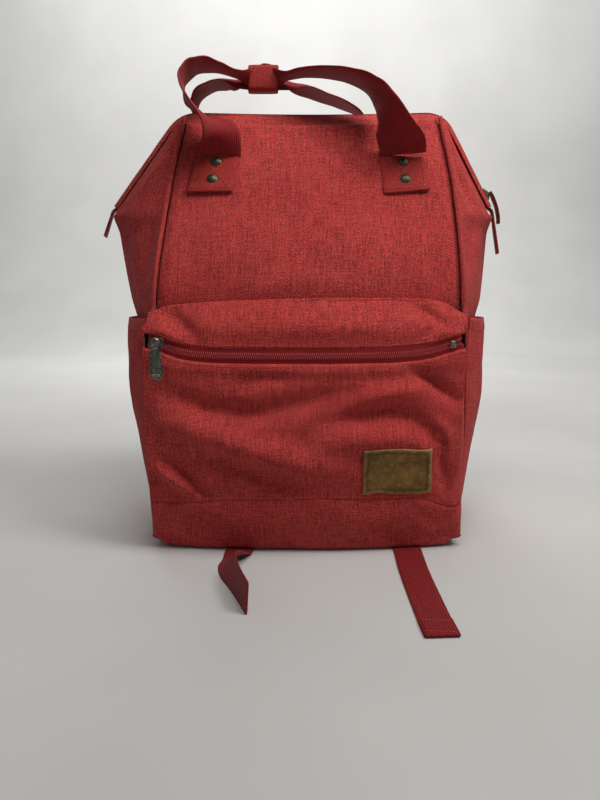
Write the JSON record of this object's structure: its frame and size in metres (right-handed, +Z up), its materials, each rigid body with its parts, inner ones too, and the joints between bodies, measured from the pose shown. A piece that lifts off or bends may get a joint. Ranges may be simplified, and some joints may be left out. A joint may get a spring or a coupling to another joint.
{
  "type": "backpack",
  "caption": "Wide-mouth framed canvas backpack with zipped front pocket, open side pockets, webbing carry handles bound by a snap wrap, and padded shoulder straps.",
  "frame": {"origin": "centre of the underside of the base, on the surface the bag stands on", "axes": "+Z up, the longest extent; -Y is the front with the zipped pocket; +X is to the right of someone facing the front"},
  "size_m": [0.3835, 0.3443, 0.4353],
  "materials": {
    "canvas": "heathered red canvas",
    "shaded_canvas": "red canvas, inner wall",
    "lining": "plain woven lining",
    "spacer_mesh": "open mesh over foam",
    "webbing": "ribbed webbing",
    "zip_tape": "woven zip tape",
    "coil": "nylon coil",
    "leather": "tan leather",
    "gunmetal": "antique gunmetal plating",
    "steel": "spring steel wire",
    "acetal": "moulded red acetal",
    "board": "black stiffener board"
  },
  "bodies": {
    "bag": {"base_panel": "canvas", "front_panel": "canvas", "pocket_panel": "canvas", "pocket_flap": "canvas", "back_panel": "canvas", "rear_panel": "canvas", "side_panel_left": "canvas", "side_panel_right": "canvas", "side_pocket_left": "canvas", "side_pocket_right": "canvas", "gusset_front_left": "canvas", "gusset_front_right": "canvas", "gusset_rear_left": "canvas", "gusset_rear_right": "canvas", "piping_left": "canvas", "piping_right": "canvas", "shoulder_strap_left": "canvas", "shoulder_strap_right": "canvas", "front_wall": "shaded_canvas", "lining": "lining", "laptop_sleeve": "lining", "back_pad": "spacer_mesh", "zip_tab_left": "webbing", "zip_tab_right": "webbing", "strap_webbing_left": "webbing", "strap_webbing_right": "webbing", "pocket_zip_tape_lower": "zip_tape", "pocket_zip_tape_upper": "zip_tape", "pocket_zip_coil": "coil", "label_patch": "leather", "ladder_lock_left": "acetal", "ladder_lock_right": "acetal", "base_board": "board"},
    "front_jaw": {"front_casing": "canvas", "main_zip_tape_front": "zip_tape", "front_frame_wire": "steel", "handle_patch_front_left": "webbing", "handle_patch_front_right": "webbing", "rivet_front_left_upper": "gunmetal", "rivet_front_left_lower": "gunmetal", "rivet_front_right_upper": "gunmetal", "rivet_front_right_lower": "gunmetal"},
    "rear_jaw": {"rear_casing": "canvas", "main_zip_tape_rear": "zip_tape", "rear_frame_wire": "steel", "handle_patch_rear_left": "webbing", "handle_patch_rear_right": "webbing", "rivet_rear_left_upper": "gunmetal", "rivet_rear_left_lower": "gunmetal", "rivet_rear_right_upper": "gunmetal", "rivet_rear_right_lower": "gunmetal"},
    "front_grip": {"front_handle": "webbing", "handle_wrap": "webbing", "wrap_snap": "gunmetal"},
    "rear_grip": {"rear_handle": "webbing"},
    "pocket_slider": {"pocket_zip_slider": "gunmetal"},
    "pocket_pull": {"pocket_zip_pull": "gunmetal"},
    "main_slider": {"main_zip_slider": "gunmetal"},
    "main_pull": {"main_zip_pull": "webbing"}
  },
  "joints": [
    {"name": "mouth_front", "type": "hinge", "parent": "bag", "child": "front_jaw", "pos_m": [0, 0, 0.304], "axis": [1, 0, 0], "range_deg": [0, 35], "deforming": ["front_panel", "gusset_front_left", "gusset_front_right", "piping_left", "piping_right", "handle_wrap"]},
    {"name": "mouth_rear", "type": "hinge", "parent": "bag", "child": "rear_jaw", "pos_m": [0, 0, 0.304], "axis": [1, 0, 0], "range_deg": [-35, 0], "deforming": ["rear_panel", "gusset_rear_left", "gusset_rear_right", "handle_wrap"]},
    {"name": "front_handle_swing", "type": "hinge", "parent": "front_jaw", "child": "front_grip", "pos_m": [0, -0.043, 0.352], "axis": [1, 0, 0], "range_deg": [0, 60], "deforming": ["handle_wrap"]},
    {"name": "rear_handle_swing", "type": "hinge", "parent": "rear_jaw", "child": "rear_grip", "pos_m": [0, 0.048, 0.352], "axis": [1, 0, 0], "range_deg": [-60, 0], "deforming": ["handle_wrap"]},
    {"name": "pocket_zip_slide", "type": "slide", "parent": "bag", "child": "pocket_slider", "axis": [1, 0, 0], "range_m": [0, 0.24]},
    {"name": "pocket_pull_swing", "type": "hinge", "parent": "pocket_slider", "child": "pocket_pull", "pos_m": [-0.124, -0.10945, 0.186], "axis": [-1, 0, 0], "range_deg": [0, 150]},
    {"name": "main_zip_slide", "type": "slide", "parent": "front_jaw", "child": "main_slider", "axis": [-0.4973, 0, 0.8676], "range_m": [0, 0.062]},
    {"name": "main_pull_swing", "type": "hinge", "parent": "main_slider", "child": "main_pull", "pos_m": [0.17319, 0, 0.31994], "axis": [0, -1, 0], "range_deg": [0, 140]}
  ],
  "couplings": [
    {"joint": "mouth_rear", "follows": "mouth_front", "ratio": -1}
  ]
}
